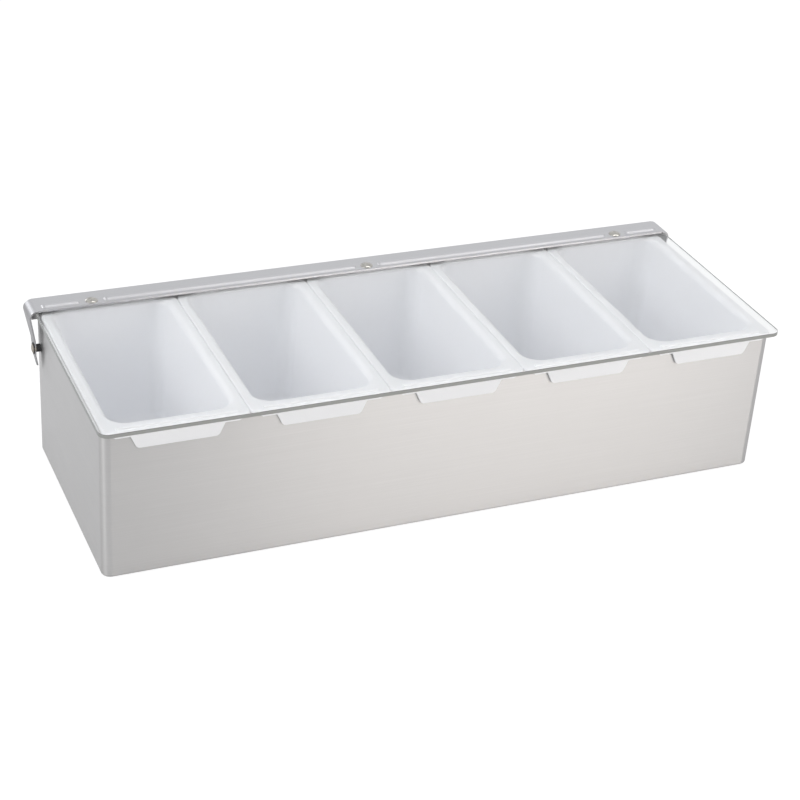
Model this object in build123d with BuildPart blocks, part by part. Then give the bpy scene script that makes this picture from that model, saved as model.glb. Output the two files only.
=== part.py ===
from build123d import *
from math import atan2, pi, tan
import os

# Condiment caddy: a folded steel housing that holds five lift-out inserts under one clear flip lid.
# Millimetres. +X runs along the housing, +Y to its rear, where the hinge is, and +Z up.
# The origin is the centre of the underside, on the surface that the caddy stands on.

# Housing
housing_depth = 164.5
housing_height = 102.2
housing_sheet = 0.9
housing_corner_radius = 6.0
housing_bend_radius = 2.0
housing_rim_radius = 0.8
ledge_width = 4.5
end_margin = 1.0

# Inserts
insert_count = 5
insert_pitch = 92.0
insert_gap = 0.2
insert_wall = 1.6
insert_floor_clearance = 11.5
insert_draft = 2.0
rim_thickness = 1.8
rim_front_corner_radius = 4.0
rim_rear_corner_radius = 12.0
rim_edge_radius = 1.0
rim_root_radius = 1.2
side_rim_width = 7.6
front_rim_width = 9.0
rear_rim_width = 5.7
rear_rim_setback = 1.8
cavity_corner_radius = 12.0
cavity_floor_radius = 6.0
cavity_lip_radius = 4.0

# Front apron of each insert: a short skirt with a tab that hangs over the front wall
apron_thickness = 1.6
apron_clearance = 0.6
apron_overlap = 0.2
skirt_length = 82.0
skirt_drop = 3.2
skirt_taper = 2.5
tab_drop = 11.8
tab_top_length = 59.0
tab_bottom_length = 51.0
tab_corner_radius = 3.4
apron_edge_radius = 0.4

# Rib on the front rim that the lid comes down to
rib_width = 2.4
rib_length = 76.0
rib_setback = 3.2
rib_edge_radius = 0.5
rib_gap = 0.3

# Lid sheet
lid_thickness = 2.6
lid_rim_gap = 1.5
lid_front_overhang = 8.2
lid_corner_radius = 6.5
lid_edge_radius = 0.4
lid_arm_clearance = 0.4
lid_flange_clearance = 0.7
lid_bend_clearance = 0.6
lid_notch_lead = 1.0
lid_notch_radius = 0.7

# Hinge bar: a strip with its rear edge folded down and, at each end, an arm that leans in to its pivot
bar_width = 19.9
bar_rear_overhang = 8.2
bar_corner_overhang = 7.7
bar_sheet = 1.2
bar_end_bend_radius = 5.5
bar_rear_bend_radius = 1.8
bar_front_edge_radius = 0.5
flange_bottom_drop = 12.0
arm_gap = 3.0
arm_flat_half = 5.2
arm_crank_radius = 3.0
arm_shoulder = 5.0
arm_tip_radius = 4.8
arm_tip_drop = 7.6
arm_tip_lead = 3.0
arm_tip_lean = 1.2

# Raised bead pressed along the bar, broken at each rivet
bead_width = 5.4
bead_height = 1.3
bead_wall = 1.0
bead_rivet_gap = 8.0
bead_end_gap = 3.5

# Rivets that hold the lid sheet to the bar
lid_rivet_inset = 39.0
lid_rivet_setback = 14.3
lid_rivet_head_radius = 4.3
lid_rivet_head_height = 1.9
rivet_head_edge = 0.3
lid_rivet_shank_radius = 2.0
lid_rivet_tail_radius = 3.5
lid_rivet_tail_depth = 1.4

# Pivots
pivot_setback = 10.0
pivot_drop = 24.0
pivot_shank_radius = 2.0
pivot_running_clearance = 0.08
pivot_face_clearance = 0.15
pivot_head_radius = 3.1
pivot_head_height = 1.0
pivot_tail_radius = 3.0
pivot_tail_height = 1.2
washer_radius = 3.9
washer_thickness = 0.5
spacer_radius = 2.7
shank_fit = 0.05

# Levels and places that follow from the sizes above
housing_length = insert_count * insert_pitch + 2 * end_margin
half_length = housing_length / 2
front_face = -housing_depth / 2
rear_face = housing_depth / 2

rim_underside = housing_height
rim_top = rim_underside + rim_thickness
rim_length = insert_pitch - insert_gap
rim_front = front_face - apron_clearance - apron_thickness
rim_rear = rear_face - rear_rim_setback
rim_depth = rim_rear - rim_front
rim_middle = (rim_front + rim_rear) / 2
insert_underside = housing_sheet + insert_floor_clearance
insert_floor = insert_underside + insert_wall
skirt_bottom = rim_top - skirt_drop
tab_bottom = rim_top - tab_drop
cavity_front = front_face + front_rim_width
cavity_rear = rim_rear - rear_rim_width
cavity_length = rim_length - 2 * side_rim_width
cavity_depth = cavity_rear - cavity_front
cavity_middle = (cavity_front + cavity_rear) / 2

lid_underside = rim_top + lid_rim_gap
lid_top = lid_underside + lid_thickness
arm_inner_face = half_length + arm_gap
arm_outer_face = arm_inner_face + bar_sheet
lid_half_length = arm_inner_face - lid_arm_clearance
lid_front = front_face - lid_front_overhang

bar_top = lid_top + bar_sheet
bar_rear = rear_face + bar_rear_overhang
bar_front = bar_rear - bar_width
strip_rear = bar_rear - bar_rear_bend_radius
flange_inner_face = bar_rear - bar_sheet
flange_bottom = lid_underside - flange_bottom_drop
lid_rear = flange_inner_face - lid_flange_clearance
rivet_row = bar_rear - lid_rivet_setback
outer_rivet = arm_inner_face - lid_rivet_inset
rivet_places = {"left": -outer_rivet, "centre": 0.0, "right": outer_rivet}

pivot_y = rear_face - pivot_setback
pivot_z = lid_underside - pivot_drop
arm_bottom = pivot_z - arm_tip_drop - arm_tip_radius
arm_shoulder_level = lid_top - arm_shoulder
arm_crank_level = pivot_z + arm_flat_half
bar_corner = half_length + bar_corner_overhang
arm_lean = atan2(bar_corner - arm_outer_face, bar_top - arm_crank_level)
bar_flat_half = bar_corner - bar_end_bend_radius * tan(pi / 4 + arm_lean / 2)
spacer_length = arm_gap - pivot_face_clearance
head_washer_face = arm_outer_face + pivot_face_clearance
inner_wall_face = half_length - housing_sheet
pivot_dome_rise = pivot_head_height - rivet_head_edge
pivot_dome_radius = (pivot_head_radius**2 + pivot_dome_rise**2) / (2 * pivot_dome_rise)
lid_rivet_dome_rise = lid_rivet_head_height - rivet_head_edge
lid_rivet_dome_radius = (lid_rivet_head_radius**2 + lid_rivet_dome_rise**2) / (2 * lid_rivet_dome_rise)
pivot_dome_sag = pivot_dome_radius - (pivot_dome_radius**2 - pivot_head_radius**2 / 4) ** 0.5
sides = (("left", -1), ("right", 1))

os.makedirs("parts", exist_ok=True)


def save(piece, name):
    """Label a finished piece and write it under its own name."""
    piece.part.label = name
    export_step(piece.part, f"parts/{name}.step")


# Housing: a floor, four walls and a ledge turned inwards all round the top
with BuildPart() as housing:
    with BuildSketch():
        RectangleRounded(housing_length, housing_depth, housing_corner_radius)
    extrude(amount=housing_height)
    fillet(housing.faces().sort_by(Axis.Z)[0].edges(), housing_bend_radius)
    fillet(housing.faces().sort_by(Axis.Z)[-1].edges(), housing_rim_radius)

    # Inside, up to the ledge
    with BuildSketch(Plane.XY.offset(housing_sheet)):
        RectangleRounded(
            housing_length - 2 * housing_sheet,
            housing_depth - 2 * housing_sheet,
            housing_corner_radius - housing_sheet,
        )
    extrude(amount=housing_height - 2 * housing_sheet, mode=Mode.SUBTRACT)
    floor_edges = housing.edges().filter_by_position(Axis.Z, housing_sheet, housing_sheet)
    fillet(floor_edges, housing_bend_radius - housing_sheet)

    # Mouth that the inserts hang through
    with BuildSketch(Plane.XY.offset(housing_height - housing_sheet)):
        RectangleRounded(
            housing_length - 2 * ledge_width,
            housing_depth - 2 * ledge_width,
            housing_corner_radius,
        )
    extrude(amount=housing_sheet, mode=Mode.SUBTRACT)

    # Pivot hole in each end wall
    with BuildSketch(Plane.YZ):
        with Locations((pivot_y, pivot_z)):
            Circle(pivot_shank_radius + shank_fit)
    extrude(amount=half_length, both=True, mode=Mode.SUBTRACT)
save(housing, "housing")


def make_insert(middle, name):
    """A deep drafted tub with a rim that sits on the ledge and a tab over the front wall."""
    # Space inside the tub
    with BuildPart() as hollow:
        with BuildSketch(Plane.XY.offset(rim_top)):
            with Locations((middle, cavity_middle)):
                RectangleRounded(cavity_length, cavity_depth, cavity_corner_radius)
        extrude(amount=insert_floor - rim_top, taper=insert_draft)
        fillet(hollow.faces().sort_by(Axis.Z)[0].edges(), cavity_floor_radius)

    with BuildPart() as insert:
        # Tub, drawn in towards its floor
        with BuildSketch(Plane.XY.offset(rim_underside)):
            with Locations((middle, cavity_middle)):
                RectangleRounded(
                    cavity_length + 2 * insert_wall,
                    cavity_depth + 2 * insert_wall,
                    cavity_corner_radius + insert_wall,
                )
        extrude(amount=insert_underside - rim_underside, taper=insert_draft)
        fillet(insert.faces().sort_by(Axis.Z)[0].edges(), cavity_floor_radius + insert_wall)

        # Rim plate, rounded along its upper edge
        with BuildSketch(Plane.XY.offset(rim_underside)) as plate:
            with Locations((middle, rim_middle)):
                Rectangle(rim_length, rim_depth)
            fillet(plate.vertices().group_by(Axis.Y)[0], rim_front_corner_radius)
            fillet(plate.vertices().group_by(Axis.Y)[-1], rim_rear_corner_radius)
        extrude(amount=rim_thickness)
        fillet(insert.faces().sort_by(Axis.Z)[-1].edges(), rim_edge_radius)

        # The tub rolls over into the rim: the outside of that roll
        underside = insert.faces().filter_by(Axis.Z).group_by(Axis.Z)[-2][0]
        fillet(underside.inner_wires()[0].edges(), rim_root_radius)

        # Cut the hollow and roll its upper edge over
        add(hollow.part, mode=Mode.SUBTRACT)
        top = insert.faces().sort_by(Axis.Z)[-1]
        fillet(top.inner_wires()[0].edges(), cavity_lip_radius)

        # Apron: the skirt and, under it, the tab
        with BuildSketch(Plane.XZ.offset(-rim_front)) as apron:
            with BuildLine():
                Polyline(
                    (middle - skirt_length / 2, rim_underside + apron_overlap),
                    (middle + skirt_length / 2, rim_underside + apron_overlap),
                    (middle + skirt_length / 2 - skirt_taper, skirt_bottom),
                    (middle + tab_top_length / 2, skirt_bottom),
                    (middle + tab_bottom_length / 2, tab_bottom),
                    (middle - tab_bottom_length / 2, tab_bottom),
                    (middle - tab_top_length / 2, skirt_bottom),
                    (middle - skirt_length / 2 + skirt_taper, skirt_bottom),
                    close=True,
                )
            make_face()
            fillet(apron.vertices().group_by(Axis.Y)[0], tab_corner_radius)
        extrude(amount=-apron_thickness)
        apron_face = insert.faces().filter_by(Axis.Y).sort_by(Axis.Y)[0]
        free_edges = apron_face.edges().filter_by(
            lambda edge: edge.center().Z < rim_underside - apron_overlap
        )
        fillet(free_edges, apron_edge_radius)

        # Rib that the lid comes down to
        with BuildSketch(Plane.XY.offset(rim_top)):
            with Locations((middle, rim_front + rib_setback)):
                SlotOverall(rib_length, rib_width)
        extrude(amount=lid_rim_gap - rib_gap)
        fillet(insert.faces().sort_by(Axis.Z)[-1].edges(), rib_edge_radius)
    save(insert, name)


for place in range(insert_count):
    make_insert((place - (insert_count - 1) / 2) * insert_pitch, f"insert_{place + 1}")


# Lid sheet: one clear plate with round front corners and a countersunk hole for each rivet
with BuildPart() as lid_sheet:
    notch_front = bar_front - lid_notch_lead
    with BuildSketch(Plane.XY.offset(lid_underside)) as outline:
        with Locations((0, (lid_front + notch_front) / 2)):
            Rectangle(2 * lid_half_length, notch_front - lid_front)
        with Locations((0, (lid_front + lid_rear) / 2)):
            Rectangle(2 * (bar_flat_half - lid_bend_clearance), lid_rear - lid_front)
        fillet(outline.vertices().group_by(Axis.Y)[0], lid_corner_radius)
        fillet(outline.vertices().group_by(Axis.Y)[-2], lid_notch_radius)
    extrude(amount=lid_thickness)
    fillet(lid_sheet.edges().group_by(Axis.Z)[0], lid_edge_radius)
    fillet(lid_sheet.edges().group_by(Axis.Z)[-1], lid_edge_radius)
    for x in rivet_places.values():
        with BuildSketch(Plane.XZ.offset(-rivet_row)):
            with BuildLine():
                Polyline(
                    (x, lid_underside),
                    (x + lid_rivet_tail_radius + shank_fit, lid_underside),
                    (x + lid_rivet_shank_radius + shank_fit, lid_underside + lid_rivet_tail_depth),
                    (x + lid_rivet_shank_radius + shank_fit, lid_top),
                    (x, lid_top),
                    close=True,
                )
            make_face()
        revolve(axis=Axis((x, rivet_row, 0), (0, 0, 1)), mode=Mode.SUBTRACT)
save(lid_sheet, "lid_sheet")


# Hinge bar
with BuildPart() as hinge_bar:
    # One strip bent down at both ends, where it leans in, stands upright past the pivot and leans in again
    half_line = (
        (arm_outer_face - arm_tip_lean, arm_bottom),
        (arm_outer_face, pivot_z - arm_flat_half),
        (arm_outer_face, arm_crank_level),
        (bar_corner, bar_top),
    )
    bends = (arm_crank_radius, arm_crank_radius, bar_end_bend_radius)
    with BuildSketch(Plane.XZ.offset(-bar_front)):
        with BuildLine():
            FilletPolyline(
                *[(-x, z) for x, z in half_line],
                *reversed(half_line),
                radius=(*bends, *reversed(bends)),
            )
            offset(amount=bar_sheet, side=Side.RIGHT)
        make_face()
    extrude(amount=bar_front - strip_rear)
    front_edge = hinge_bar.edges().filter_by(Axis.X).group_by(Axis.Z)[-1].sort_by(Axis.Y)[0]
    fillet(front_edge, bar_front_edge_radius)

    # Seen from the end, the arms narrow to a round tip under the pivot
    with BuildSketch(Plane.YZ):
        with Locations(((bar_front + strip_rear) / 2, (arm_shoulder_level + bar_top) / 2)):
            Rectangle(strip_rear - bar_front, bar_top - arm_shoulder_level)
        with Locations((pivot_y - arm_tip_lead, pivot_z - arm_tip_drop)):
            Circle(arm_tip_radius)
        make_hull()
        with Locations((pivot_y, pivot_z)):
            Circle(pivot_shank_radius + pivot_running_clearance, mode=Mode.SUBTRACT)
    extrude(amount=bar_corner, both=True, mode=Mode.INTERSECT)

    # Rear flange
    with BuildSketch(Plane.YZ.offset(-bar_flat_half)) as flange:
        with Locations(((bar_front + bar_rear) / 2, (flange_bottom + bar_top) / 2)):
            Rectangle(bar_width, bar_top - flange_bottom)
        fillet(flange.vertices().group_by(Axis.X)[-1].group_by(Axis.Y)[-1], bar_rear_bend_radius)
        with Locations(((bar_front + flange_inner_face) / 2, (flange_bottom + lid_top) / 2)):
            Rectangle(bar_width - bar_sheet, lid_top - flange_bottom, mode=Mode.SUBTRACT)
        inner_corner = flange.vertices().sort_by_distance((flange_inner_face, lid_top))[0]
        fillet(inner_corner, bar_rear_bend_radius - bar_sheet)
    extrude(amount=2 * bar_flat_half)

    # Bead, raised above and hollow below, in four lengths between the rivets and the ends
    bead_ends = (
        (-bar_flat_half + bead_end_gap, -outer_rivet - bead_rivet_gap),
        (-outer_rivet + bead_rivet_gap, -bead_rivet_gap),
        (bead_rivet_gap, outer_rivet - bead_rivet_gap),
        (outer_rivet + bead_rivet_gap, bar_flat_half - bead_end_gap),
    )
    ridge = (bead_width, bead_height, bar_top, Mode.ADD)
    hollow = (bead_width - bead_wall, bead_height + bar_sheet - bead_wall, lid_top, Mode.SUBTRACT)
    for width, height, foot, mode in (ridge, hollow):
        arc_radius = (width**2 / 4 + height**2) / (2 * height)
        for start, end in bead_ends:
            with BuildSketch(Plane.YZ.offset(start + width / 2)):
                with BuildLine():
                    ThreePointArc(
                        (rivet_row - width / 2, foot),
                        (rivet_row, foot + height),
                        (rivet_row + width / 2, foot),
                    )
                    Line((rivet_row + width / 2, foot), (rivet_row - width / 2, foot))
                make_face()
            extrude(amount=end - start - width, mode=mode)
            for x in (start + width / 2, end - width / 2):
                with BuildSketch(Plane.XZ.offset(-rivet_row)):
                    with BuildLine():
                        RadiusArc((x, foot + height), (x + width / 2, foot), arc_radius)
                        Polyline((x + width / 2, foot), (x, foot), (x, foot + height))
                    make_face()
                revolve(axis=Axis((x, rivet_row, 0), (0, 0, 1)), mode=mode)

    # Rivet holes
    with BuildSketch(Plane.XY.offset(lid_top)):
        with Locations(*[(x, rivet_row) for x in rivet_places.values()]):
            Circle(lid_rivet_shank_radius + shank_fit)
    extrude(amount=bar_sheet, mode=Mode.SUBTRACT)
save(hinge_bar, "hinge_bar")


def make_lid_rivet(x, name):
    """A domed head on the bar, a shank through bar and sheet, and a tail flush with the sheet."""
    with BuildPart() as rivet:
        with BuildSketch(Plane.XZ.offset(-rivet_row)):
            with BuildLine():
                Polyline(
                    (x, bar_top + lid_rivet_head_height),
                    (x, lid_underside),
                    (x + lid_rivet_tail_radius, lid_underside),
                    (x + lid_rivet_shank_radius, lid_underside + lid_rivet_tail_depth),
                    (x + lid_rivet_shank_radius, bar_top),
                    (x + lid_rivet_head_radius, bar_top),
                    (x + lid_rivet_head_radius, bar_top + rivet_head_edge),
                )
                RadiusArc(
                    (x, bar_top + lid_rivet_head_height),
                    (x + lid_rivet_head_radius, bar_top + rivet_head_edge),
                    lid_rivet_dome_radius,
                )
            make_face()
        revolve(axis=Axis((x, rivet_row, 0), (0, 0, 1)))
    save(rivet, name)


for side, x in rivet_places.items():
    make_lid_rivet(x, f"lid_rivet_{side}")


def make_ring(start, length, radius, name):
    """A flat ring round the pivot shank: a washer or a spacer."""
    with BuildPart() as ring:
        with BuildSketch(Plane.YZ.offset(start)):
            with Locations((pivot_y, pivot_z)):
                Circle(radius)
                Circle(pivot_shank_radius + shank_fit, mode=Mode.SUBTRACT)
        extrude(amount=length)
    save(ring, name)


def make_pivot_rivet(side, name):
    """A rivet with its domed head outside the arm and its spread tail inside the end wall."""
    head_seat = side * (head_washer_face + washer_thickness)
    head_crest = head_seat + side * pivot_head_height
    tail_seat = side * (inner_wall_face - washer_thickness)
    tail_end = tail_seat - side * pivot_tail_height
    with BuildPart() as rivet:
        with BuildSketch(Plane.XZ.offset(-pivot_y)):
            with BuildLine():
                Polyline(
                    (head_crest, pivot_z),
                    (tail_end, pivot_z),
                    (tail_end, pivot_z + pivot_tail_radius),
                    (tail_seat, pivot_z + pivot_tail_radius),
                    (tail_seat, pivot_z + pivot_shank_radius),
                    (head_seat, pivot_z + pivot_shank_radius),
                    (head_seat, pivot_z + pivot_head_radius),
                    (head_seat + side * rivet_head_edge, pivot_z + pivot_head_radius),
                )
                ThreePointArc(
                    (head_crest, pivot_z),
                    (head_crest - side * pivot_dome_sag, pivot_z + pivot_head_radius / 2),
                    (head_seat + side * rivet_head_edge, pivot_z + pivot_head_radius),
                )
            make_face()
        revolve(axis=Axis((0, pivot_y, pivot_z), (1, 0, 0)))
    save(rivet, name)


for word, side in sides:
    make_pivot_rivet(side, f"pivot_rivet_{word}")
    make_ring(side * half_length, side * spacer_length, spacer_radius, f"pivot_spacer_{word}")
    make_ring(side * head_washer_face, side * washer_thickness, washer_radius, f"pivot_head_washer_{word}")
    make_ring(side * inner_wall_face, -side * washer_thickness, washer_radius, f"pivot_inner_washer_{word}")
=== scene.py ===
import math

import bmesh
import bpy
from mathutils import Matrix, Vector

# The condiment caddy dressed: brushed steel housing and hinge bar, white moulded inserts under a clear lid.
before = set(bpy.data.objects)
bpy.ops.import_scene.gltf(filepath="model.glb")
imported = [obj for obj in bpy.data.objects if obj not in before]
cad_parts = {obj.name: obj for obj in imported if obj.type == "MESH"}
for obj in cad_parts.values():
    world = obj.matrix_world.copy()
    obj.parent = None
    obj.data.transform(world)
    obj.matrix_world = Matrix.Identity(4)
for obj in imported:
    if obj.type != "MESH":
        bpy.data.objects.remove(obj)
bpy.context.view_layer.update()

# Colours of the finishes, linear, mostly in pairs: the finish is mottled with the second of the two
STEEL_BRIGHT = (0.655, 0.645, 0.64, 1)
STEEL_DULL = (0.565, 0.556, 0.55, 1)
BAR_BRIGHT = (0.582, 0.577, 0.588, 1)
BAR_DULL = (0.505, 0.501, 0.51, 1)
WHITE_PLASTIC = (0.92, 0.924, 0.942, 1)
WHITE_PLASTIC_SHADE = (0.905, 0.91, 0.928, 1)
CLEAR_FACE = (0.96, 0.965, 0.968, 1)
# Painted shade: the lid sheet's edges are opaque grey, for the dark line that a clear sheet's edge shows
CLEAR_EDGE_PAINTED_SHADE = (0.32, 0.325, 0.31, 1)
CLEAR_SHADOW = (0.93, 0.933, 0.938, 1)
RIVET_ALUMINIUM = (0.50, 0.485, 0.45, 1)
RIVET_ALUMINIUM_DULL = (0.36, 0.345, 0.32, 1)
PIVOT_METAL = (0.58, 0.53, 0.46, 1)
PIVOT_METAL_DULL = (0.40, 0.36, 0.31, 1)
# Painted shade: the washers under the pivot heads are near black, for the dark gap between each head and its arm;
# the rubbed spots are wear
WASHER_GAP_SHADE_BLACK = (0.015, 0.015, 0.016, 1)
WASHER_GAP_SHADE_WORN = (0.035, 0.035, 0.036, 1)
SPACER_BLACK = (0.012, 0.012, 0.013, 1)
SPACER_BLACK_WORN = (0.03, 0.03, 0.032, 1)

# Roughness of the finishes, from the smoothest spots to the roughest
HOUSING_ROUGHNESS = (0.34, 0.41)
BAR_ROUGHNESS = (0.26, 0.33)
PLASTIC_ROUGHNESS = (0.32, 0.42)
LID_RIVET_ROUGHNESS = (0.06, 0.14)
PIVOT_ROUGHNESS = (0.18, 0.32)
WASHER_ROUGHNESS = (0.35, 0.5)
SPACER_ROUGHNESS = (0.15, 0.3)
HANDLING_ROUGHNESS = 0.05
SAWN_EDGE_ROUGHNESS = 0.3
SMEAR_ROUGHNESS = 0.012

# The steel's grain, fine where the number is large, and the way that its sheen spreads, across the grain
HOUSING_GRAIN = (14, 14, 3600)
HOUSING_ACROSS = (0, 0.05, 1)
BAR_GRAIN = (14, 3600, 3600)
BAR_ACROSS = (0, 1, 0.05)
SHEEN_SPREAD = 0.9

# Refraction of the two plastics, and how far light goes into the white one
PLASTIC_IOR = 1.49
LIGHT_IN_PLASTIC = 0.4
LIGHT_DEPTH = 0.003

# The upward part of the lid sheet's direction, 0 on its edges and 1 on its faces: where the sawn finish and the
# painted shade of the edges fade out
EDGE_FADES = (0.35, 0.75)

# Patterns in the finishes, finer where the number is larger
LONG_STREAKS = 0.25
SCRATCHES = 1.0
HANDLING_CLOUDS = 11.0
MOULDING_FLOW = 9.0
MOULDING_PORES = 900.0
SMEARS = 18.0
RIVET_DENTS = 600.0
RUBBED_SPOTS = 500.0
PAPER_FIBRES = 40.0

# Relief of the finishes: strength, and height in metres
SCRATCH_RELIEF = (0.06, 0.00003)
PORE_RELIEF = (0.05, 0.00005)
DENT_RELIEF = (0.12, 0.00005)
RUBBED_RELIEF = (0.15, 0.00005)

# Camera, fitted to the photograph: metres and degrees
CAMERA_PLACE = (-0.475231, -1.039793, 0.704043)
CAMERA_TURN = -24.469
CAMERA_LOOKS_DOWN = 30.015
CAMERA_ROLL = 4.031
CAMERA_LENS = 87.34
CAMERA_SENSOR = 36.0
CAMERA_NEAR = 0.01

# Room and floor
WHITE = (1, 1, 1, 1)
ROOM_LIGHT = 0.6
ROOM_TINT = (0.965, 0.98, 1.0, 1)
ROOM_SHARES = {"Is Camera Ray": 1.0, "Is Glossy Ray": 1.0, "Is Transmission Ray": 1.0}
FLOOR_PAPER = (0.80, 0.80, 0.80, 1)
FLOOR_FIBRE = (0.78, 0.78, 0.78, 1)
FLOOR_ROUGHNESS = 0.9
FLOOR_GLOW = 1.2
FLOOR_GLOW_SHARES = {"Is Camera Ray": 0.75, "Is Glossy Ray": 0.05, "Is Transmission Ray": 0.6}
FLOOR_HALF_SIZE = 6.0
FLOOR_GAP = 0.0004
DIFFUSE_BOUNCES = 16
ALL_BOUNCES = 24

# Lamps: place, width, depth, watts and colour. The long thin one lies along the bar's raised bead.
NEUTRAL = (1, 1, 1)
COOL = (0.92, 0.95, 1.0)
WARM = (1.0, 0.95, 0.90)
LAMPS = {
    "left_high": ((-1.7, -0.3, 1.35), 1.0, 1.0, 12.8, NEUTRAL),
    "rear_left": ((-0.75, 1.5, 0.5), 0.7, 0.7, 1.9, COOL),
    "overhead": ((0.38, -0.03, 1.1), 0.14, 1.1, 1.4, NEUTRAL),
    "right_front": ((0.53, -1.15, 0.33), 0.7, 0.7, 4.7, WARM),
}
LAMPS_FACE = (0, 0, 0.05)


class Finish:
    """A node material and the few things that every finish here does with one."""

    def __init__(self, name):
        self.material = bpy.data.materials.new(name)
        self.material.use_nodes = True
        self.tree = self.material.node_tree
        self.surface = self.tree.nodes["Principled BSDF"]
        self.output = self.tree.nodes["Material Output"]
        self.coordinates = self.node("ShaderNodeTexCoord")

    def node(self, kind, **settings):
        made = self.tree.nodes.new(kind)
        for name, value in settings.items():
            setattr(made, name, value)
        return made

    def link(self, start, end):
        self.tree.links.new(start, end)

    def set(self, **values):
        """Constants go on the shader's own sockets."""
        for name, value in values.items():
            socket = name.replace("_", " ").title().replace("Ior", "IOR")
            self.surface.inputs[socket].default_value = value

    def noise(self, scale, stretch=(1, 1, 1), detail=4.0, roughness=0.55):
        """Noise on the piece's own coordinates, stretched along an axis where its number is small."""
        mapping = self.node("ShaderNodeMapping")
        mapping.inputs["Scale"].default_value = stretch
        self.link(self.coordinates.outputs["Object"], mapping.inputs["Vector"])
        noise = self.node("ShaderNodeTexNoise")
        noise.inputs["Scale"].default_value = scale
        noise.inputs["Detail"].default_value = detail
        noise.inputs["Roughness"].default_value = roughness
        self.link(mapping.outputs["Vector"], noise.inputs["Vector"])
        return noise.outputs["Fac"]

    def between(self, factor, low, high, start=0.3, end=0.7):
        """A number that runs from low to high as the factor runs from start to end."""
        ramp = self.node("ShaderNodeMapRange")
        ramp.inputs["From Min"].default_value = start
        ramp.inputs["From Max"].default_value = end
        ramp.inputs["To Min"].default_value = low
        ramp.inputs["To Max"].default_value = high
        self.link(factor, ramp.inputs["Value"])
        return ramp.outputs["Result"]

    def sum(self, first, second):
        total = self.node("ShaderNodeMath", operation="ADD")
        self.link(first, total.inputs[0])
        self.link(second, total.inputs[1])
        return total.outputs[0]

    def blend(self, factor, first, second):
        """A colour between two, each a constant or another blend."""
        mix = self.node("ShaderNodeMix", data_type="RGBA")
        self.link(factor, mix.inputs[0])
        for socket, value in ((mix.inputs[6], first), (mix.inputs[7], second)):
            if isinstance(value, tuple):
                socket.default_value = value
            else:
                self.link(value, socket)
        return mix.outputs[2]

    def colour(self, value):
        self.link(value, self.surface.inputs["Base Color"])

    def roughness(self, value):
        self.link(value, self.surface.inputs["Roughness"])

    def relief(self, height, strength, distance):
        bump = self.node("ShaderNodeBump")
        bump.inputs["Strength"].default_value = strength
        bump.inputs["Distance"].default_value = distance
        self.link(height, bump.inputs["Height"])
        self.link(bump.outputs["Normal"], self.surface.inputs["Normal"])

    def shine_through(self, tint):
        """The lamps' light passes straight through, tinted, while the surface still looks as it is."""
        path = self.node("ShaderNodeLightPath")
        window = self.node("ShaderNodeBsdfTransparent")
        window.inputs["Color"].default_value = tint
        mix = self.node("ShaderNodeMixShader")
        self.link(path.outputs["Is Shadow Ray"], mix.inputs[0])
        self.link(self.surface.outputs[0], mix.inputs[1])
        self.link(window.outputs[0], mix.inputs[2])
        self.link(mix.outputs[0], self.output.inputs["Surface"])


def brushed_steel(name, bright, dull, grain, across, roughness):
    """Stainless sheet: fine scratches along the grain, with cloudy patches where it has been handled.

    The sheen spreads across the grain, the way that the piece's own direction `across` points.
    """
    steel = Finish(name)
    scratches = steel.noise(SCRATCHES, grain, detail=5.0, roughness=0.75)
    long_streaks = steel.noise(LONG_STREAKS, grain, detail=3.0)
    clouds = steel.noise(HANDLING_CLOUDS, detail=3.0)
    clouded = steel.blend(steel.between(clouds, 0.1, 0.5), bright, dull)
    streaked = steel.blend(steel.between(long_streaks, 0.0, 0.25), clouded, dull)
    steel.colour(steel.blend(steel.between(scratches, 0.0, 0.6), streaked, dull))
    handled = steel.between(clouds, 0.0, HANDLING_ROUGHNESS)
    steel.roughness(steel.sum(steel.between(scratches, *roughness), handled))
    steel.relief(scratches, *SCRATCH_RELIEF)
    steel.set(metallic=1.0, anisotropic=SHEEN_SPREAD)
    turn = {"vector_type": "VECTOR", "convert_from": "OBJECT", "convert_to": "WORLD"}
    direction = steel.node("ShaderNodeVectorTransform", **turn)
    direction.inputs["Vector"].default_value = across
    steel.link(direction.outputs["Vector"], steel.surface.inputs["Tangent"])
    return steel.material


def moulded_plastic(name):
    """White polypropylene: thin enough to let some light through, with the faint flow of a moulding."""
    plastic = Finish(name)
    flow = plastic.noise(MOULDING_FLOW, (1, 1, 0.4), detail=2.0)
    pores = plastic.noise(MOULDING_PORES, detail=2.0)
    plastic.colour(plastic.blend(plastic.between(flow, 0, 1), WHITE_PLASTIC, WHITE_PLASTIC_SHADE))
    plastic.roughness(plastic.between(flow, *PLASTIC_ROUGHNESS))
    plastic.relief(pores, *PORE_RELIEF)
    plastic.set(ior=PLASTIC_IOR, subsurface_weight=LIGHT_IN_PLASTIC)
    plastic.set(subsurface_radius=(1.0, 1.0, 1.0), subsurface_scale=LIGHT_DEPTH)
    return plastic.material


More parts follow.
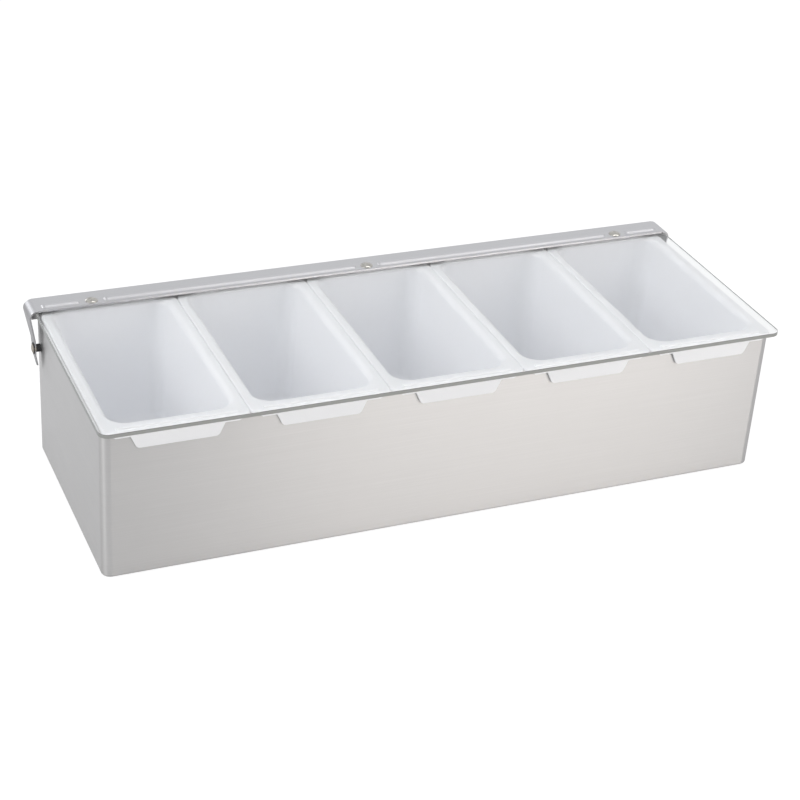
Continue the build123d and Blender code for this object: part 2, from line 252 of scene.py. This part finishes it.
def clear_sheet(name):
    """Acrylic sheet: clear and polished on both faces, sawn and frosted along its edges, which are also opaque
    and painted grey: painted shade for the dark line of a clear sheet's edge.
    """
    sheet = Finish(name)
    facing = sheet.node("ShaderNodeSeparateXYZ")
    sheet.link(sheet.coordinates.outputs["Normal"], facing.inputs["Vector"])
    flat = sheet.node("ShaderNodeMath", operation="ABSOLUTE")
    sheet.link(facing.outputs["Z"], flat.inputs[0])
    edge = sheet.between(flat.outputs[0], 1.0, 0.0, *EDGE_FADES)
    smears = sheet.noise(SMEARS, detail=2.0)
    # The edges take the grey: painted shade of the sheet's edges, made opaque below so that it shows
    sheet.colour(sheet.blend(edge, CLEAR_FACE, CLEAR_EDGE_PAINTED_SHADE))
    sawn = sheet.between(edge, 0.0, SAWN_EDGE_ROUGHNESS, 0.0, 1.0)
    sheet.roughness(sheet.sum(sawn, sheet.between(smears, 0.0, SMEAR_ROUGHNESS)))
    sheet.link(sheet.between(edge, 1.0, 0.0, 0.0, 1.0), sheet.surface.inputs["Transmission Weight"])
    sheet.set(ior=PLASTIC_IOR)
    sheet.shine_through(CLEAR_SHADOW)
    return sheet.material


def satin_metal(name, bright, dull, roughness):
    """Upset rivet metal: a turned sheen with small dents from the rivet set."""
    metal = Finish(name)
    dents = metal.noise(RIVET_DENTS, detail=3.0)
    metal.colour(metal.blend(metal.between(dents, 0, 1), bright, dull))
    metal.roughness(metal.between(dents, *roughness))
    metal.relief(dents, *DENT_RELIEF)
    metal.set(metallic=1.0)
    return metal.material


def dark_plastic_and_gap_shade(name, fresh, worn, roughness):
    """Hard dark plastic with a rubbed, uneven face; on the washers under the pivot heads its near black is
    painted shade of the gap between each head and its arm.
    """
    plastic = Finish(name)
    rubbed = plastic.noise(RUBBED_SPOTS, detail=3.0)
    plastic.colour(plastic.blend(plastic.between(rubbed, 0, 1), fresh, worn))
    plastic.roughness(plastic.between(rubbed, *roughness))
    plastic.relief(rubbed, *RUBBED_RELIEF)
    return plastic.material


def dress_pieces():
    """Each piece takes the finish whose word stands in its name."""
    housing_sheet = (STEEL_BRIGHT, STEEL_DULL, HOUSING_GRAIN, HOUSING_ACROSS, HOUSING_ROUGHNESS)
    bar_strip = (BAR_BRIGHT, BAR_DULL, BAR_GRAIN, BAR_ACROSS, BAR_ROUGHNESS)
    rivet = satin_metal("rivet_aluminium", RIVET_ALUMINIUM, RIVET_ALUMINIUM_DULL, LID_RIVET_ROUGHNESS)
    pivot = satin_metal("pivot_metal", PIVOT_METAL, PIVOT_METAL_DULL, PIVOT_ROUGHNESS)
    finishes = {
        "housing": brushed_steel("brushed_steel_housing", *housing_sheet),
        "hinge_bar": brushed_steel("brushed_steel_bar", *bar_strip),
        "insert": moulded_plastic("white_polypropylene"),
        "lid_sheet": clear_sheet("clear_acrylic"),
        "lid_rivet": rivet,
        "pivot_rivet": pivot,
        "inner_washer": pivot,
        # The head washers' near black is painted shade of the gap under each pivot head
        "head_washer": dark_plastic_and_gap_shade("washer_black", WASHER_GAP_SHADE_BLACK, WASHER_GAP_SHADE_WORN, WASHER_ROUGHNESS),
        "spacer": dark_plastic_and_gap_shade("spacer_black", SPACER_BLACK, SPACER_BLACK_WORN, SPACER_ROUGHNESS),
    }
    for node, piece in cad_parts.items():
        for word, material in finishes.items():
            if word in node:
                for slot in piece.material_slots:
                    slot.material = material


def studio_camera():
    """The photograph's place and angle: a long lens, a little above and to the left, rolled slightly."""
    camera = bpy.data.objects.new("camera", bpy.data.cameras.new("camera"))
    bpy.context.collection.objects.link(camera)
    camera.data.sensor_width = CAMERA_SENSOR
    camera.data.lens = CAMERA_LENS
    camera.data.clip_start = CAMERA_NEAR
    turn = Matrix.Rotation(math.radians(CAMERA_TURN), 4, "Z")
    tilt = Matrix.Rotation(math.radians(90 - CAMERA_LOOKS_DOWN), 4, "X")
    roll = Matrix.Rotation(math.radians(CAMERA_ROLL), 4, "Z")
    camera.matrix_world = Matrix.Translation(CAMERA_PLACE) @ turn @ tilt @ roll
    bpy.context.scene.camera = camera


def seen_share(tree, shares):
    """How much a ray counts as looking: its kind's share, and 0 once it has scattered off a dull surface."""
    path = tree.nodes.new("ShaderNodeLightPath")

    def maths(operation, first, second, clamped=False):
        step = tree.nodes.new("ShaderNodeMath")
        step.operation = operation
        step.use_clamp = clamped
        for socket, value in zip(step.inputs, (first, second)):
            if isinstance(value, float):
                socket.default_value = value
            else:
                tree.links.new(value, socket)
        return step.outputs[0]

    seen = 0.0
    for ray, share in shares.items():
        seen = maths("MAXIMUM", maths("MULTIPLY", path.outputs[ray], share), seen)
    return maths("SUBTRACT", seen, path.outputs["Diffuse Depth"], clamped=True)


def pale_floor():
    """A pale sheet under the caddy that keeps its shadow and is white where it is seen."""
    mesh = bpy.data.meshes.new("floor")
    floor = bpy.data.objects.new("floor", mesh)
    bpy.context.collection.objects.link(floor)
    plane = bmesh.new()
    bmesh.ops.create_grid(plane, x_segments=1, y_segments=1, size=FLOOR_HALF_SIZE)
    bmesh.ops.translate(plane, verts=plane.verts, vec=(0, 0, -FLOOR_GAP))
    plane.to_mesh(mesh)
    plane.free()
    paper = Finish("pale_floor")
    paper.set(roughness=FLOOR_ROUGHNESS, specular_ior_level=0.0)
    fibre = paper.noise(PAPER_FIBRES, detail=2.0)
    paper.colour(paper.blend(paper.between(fibre, 0, 1), FLOOR_PAPER, FLOOR_FIBRE))
    glow = paper.node("ShaderNodeEmission")
    glow.inputs["Strength"].default_value = FLOOR_GLOW
    both = paper.node("ShaderNodeMixShader")
    paper.link(seen_share(paper.tree, FLOOR_GLOW_SHARES), both.inputs[0])
    paper.link(paper.surface.outputs[0], both.inputs[1])
    paper.link(glow.outputs[0], both.inputs[2])
    paper.link(both.outputs[0], paper.output.inputs["Surface"])
    mesh.materials.append(paper.material)


def studio_world():
    """An even pale room, white where it is seen directly, in metal or through the lid."""
    world = bpy.data.worlds.new("studio")
    bpy.context.scene.world = world
    world.use_nodes = True
    tree = world.node_tree
    background = tree.nodes["Background"]
    tint = tree.nodes.new("ShaderNodeMix")
    tint.data_type = "RGBA"
    tint.inputs[6].default_value = ROOM_TINT
    tint.inputs[7].default_value = WHITE
    tree.links.new(tree.nodes.new("ShaderNodeLightPath").outputs["Is Camera Ray"], tint.inputs[0])
    tree.links.new(tint.outputs[2], background.inputs["Color"])
    level = tree.nodes.new("ShaderNodeMapRange")
    level.inputs["To Min"].default_value = ROOM_LIGHT
    level.inputs["To Max"].default_value = 1.0
    tree.links.new(seen_share(tree, ROOM_SHARES), level.inputs["Value"])
    tree.links.new(level.outputs["Result"], background.inputs["Strength"])


def soft_lamp(name, place, width, depth, watts, tint):
    """A rectangular area lamp that faces the middle of the caddy."""
    data = bpy.data.lights.new(name, "AREA")
    data.shape = "RECTANGLE"
    data.size = width
    data.size_y = depth
    data.energy = watts
    data.color = tint
    lamp = bpy.data.objects.new(name, data)
    bpy.context.collection.objects.link(lamp)
    lamp.location = place
    towards = Vector(LAMPS_FACE) - Vector(place)
    lamp.rotation_euler = towards.to_track_quat("-Z", "Y").to_euler()


dress_pieces()
studio_camera()
pale_floor()
studio_world()
for lamp_name, lamp in LAMPS.items():
    soft_lamp(lamp_name, *lamp)
bpy.context.scene.view_settings.view_transform = "Standard"
bpy.context.scene.cycles.max_bounces = ALL_BOUNCES
bpy.context.scene.cycles.diffuse_bounces = DIFFUSE_BOUNCES
